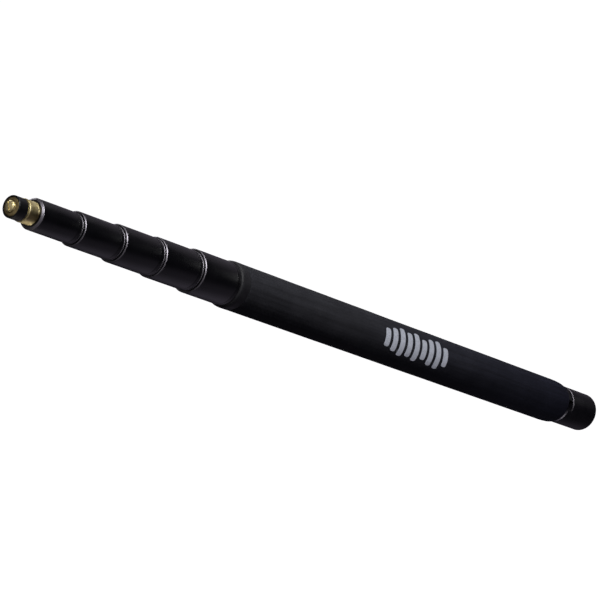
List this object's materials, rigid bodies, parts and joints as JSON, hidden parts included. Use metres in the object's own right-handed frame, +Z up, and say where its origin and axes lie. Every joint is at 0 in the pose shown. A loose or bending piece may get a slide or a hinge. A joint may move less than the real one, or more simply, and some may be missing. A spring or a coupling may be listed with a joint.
{
  "type": "boom pole",
  "caption": "Telescoping boom pole: nested black tubes with twist-lock collars, brass microphone stud with a lock ring, foam grip and screw-on end cap.",
  "frame": {"origin": "on the pole's axis, half way along the grip, where one hand holds it", "axes": "+X along the pole towards the end cap, so the microphone stud is at -X; +Z up; +Y completes a right-handed set"},
  "size_m": [0.8465, 0.0418, 0.0418],
  "materials": {
    "brass": "satin",
    "black_anodised": "satin",
    "black_plastic": "satin",
    "nylon": "matte",
    "rubber": "matte",
    "foam": "matte",
    "felt": "matte"
  },
  "bodies": {
    "handle": {"tube_5": "black_anodised", "threaded_sleeve_4": "black_anodised", "grip_band": "rubber", "foam_grip": "foam", "bumper": "rubber", "base_neck": "black_anodised"},
    "section_4": {"tube_4": "black_anodised", "guide_bush_4": "nylon", "threaded_sleeve_3": "black_anodised"},
    "section_3": {"tube_3": "black_anodised", "guide_bush_3": "nylon", "threaded_sleeve_2": "black_anodised"},
    "section_2": {"tube_2": "black_anodised", "guide_bush_2": "nylon", "threaded_sleeve_1": "black_anodised"},
    "section_1": {"tube_1": "black_anodised", "guide_bush_1": "nylon", "tip_collar": "black_anodised", "mic_stud": "brass"},
    "lock_4_collet": {"collet_4": "nylon", "wiper_4": "felt"},
    "lock_4_nut": {"lock_nut_4": "black_anodised"},
    "lock_3_collet": {"collet_3": "nylon", "wiper_3": "felt"},
    "lock_3_nut": {"lock_nut_3": "black_anodised"},
    "lock_2_collet": {"collet_2": "nylon", "wiper_2": "felt"},
    "lock_2_nut": {"lock_nut_2": "black_anodised"},
    "lock_1_collet": {"collet_1": "nylon", "wiper_1": "felt"},
    "lock_1_nut": {"lock_nut_1": "black_anodised"},
    "ring_washer": {"lock_ring_washer": "brass"},
    "lock_ring": {"lock_ring": "black_plastic"},
    "cap_seal": {"cap_seal": "rubber"},
    "end_cap": {"end_cap": "black_anodised", "end_pad": "rubber"}
  },
  "joints": [
    {"name": "section_4_slide", "type": "slide", "parent": "handle", "child": "section_4", "axis": [-1, 0, 0], "range_m": [0, 0.48]},
    {"name": "section_3_slide", "type": "slide", "parent": "section_4", "child": "section_3", "axis": [-1, 0, 0], "range_m": [0, 0.48]},
    {"name": "section_2_slide", "type": "slide", "parent": "section_3", "child": "section_2", "axis": [-1, 0, 0], "range_m": [0, 0.48]},
    {"name": "section_1_slide", "type": "slide", "parent": "section_2", "child": "section_1", "axis": [-1, 0, 0], "range_m": [0, 0.48]},
    {"name": "lock_4_travel", "type": "slide", "parent": "handle", "child": "lock_4_collet", "axis": [-1, 0, 0], "range_m": [0, 0.0005]},
    {"name": "lock_4_turn", "type": "hinge", "parent": "lock_4_collet", "child": "lock_4_nut", "pos_m": [-0.2857, 0, 0], "axis": [-1, 0, 0], "range_deg": [0, 120]},
    {"name": "lock_3_travel", "type": "slide", "parent": "section_4", "child": "lock_3_collet", "axis": [-1, 0, 0], "range_m": [0, 0.0005]},
    {"name": "lock_3_turn", "type": "hinge", "parent": "lock_3_collet", "child": "lock_3_nut", "pos_m": [-0.3347, 0, 0], "axis": [-1, 0, 0], "range_deg": [0, 120]},
    {"name": "lock_2_travel", "type": "slide", "parent": "section_3", "child": "lock_2_collet", "axis": [-1, 0, 0], "range_m": [0, 0.0005]},
    {"name": "lock_2_turn", "type": "hinge", "parent": "lock_2_collet", "child": "lock_2_nut", "pos_m": [-0.3837, 0, 0], "axis": [-1, 0, 0], "range_deg": [0, 120]},
    {"name": "lock_1_travel", "type": "slide", "parent": "section_2", "child": "lock_1_collet", "axis": [-1, 0, 0], "range_m": [0, 0.0005]},
    {"name": "lock_1_turn", "type": "hinge", "parent": "lock_1_collet", "child": "lock_1_nut", "pos_m": [-0.4327, 0, 0], "axis": [-1, 0, 0], "range_deg": [0, 120]},
    {"name": "ring_travel", "type": "slide", "parent": "section_1", "child": "ring_washer", "axis": [-1, 0, 0], "range_m": [0, 0.00317]},
    {"name": "ring_turn", "type": "hinge", "parent": "ring_washer", "child": "lock_ring", "pos_m": [-0.52275, 0, 0], "axis": [-1, 0, 0], "range_deg": [0, 720]},
    {"name": "cap_travel", "type": "slide", "parent": "handle", "child": "cap_seal", "axis": [1, 0, 0], "range_m": [0, 0.009]},
    {"name": "cap_turn", "type": "hinge", "parent": "cap_seal", "child": "end_cap", "pos_m": [0.286, 0, 0], "axis": [1, 0, 0], "range_deg": [0, 2160]}
  ],
  "couplings": [
    {"joint": "lock_4_turn", "follows": "lock_4_travel", "rad_per_m": 4188.8},
    {"joint": "lock_3_turn", "follows": "lock_3_travel", "rad_per_m": 4188.8},
    {"joint": "lock_2_turn", "follows": "lock_2_travel", "rad_per_m": 4188.8},
    {"joint": "lock_1_turn", "follows": "lock_1_travel", "rad_per_m": 4188.8},
    {"joint": "ring_turn", "follows": "ring_travel", "rad_per_m": 3957.9},
    {"joint": "cap_turn", "follows": "cap_travel", "rad_per_m": 4188.8}
  ]
}
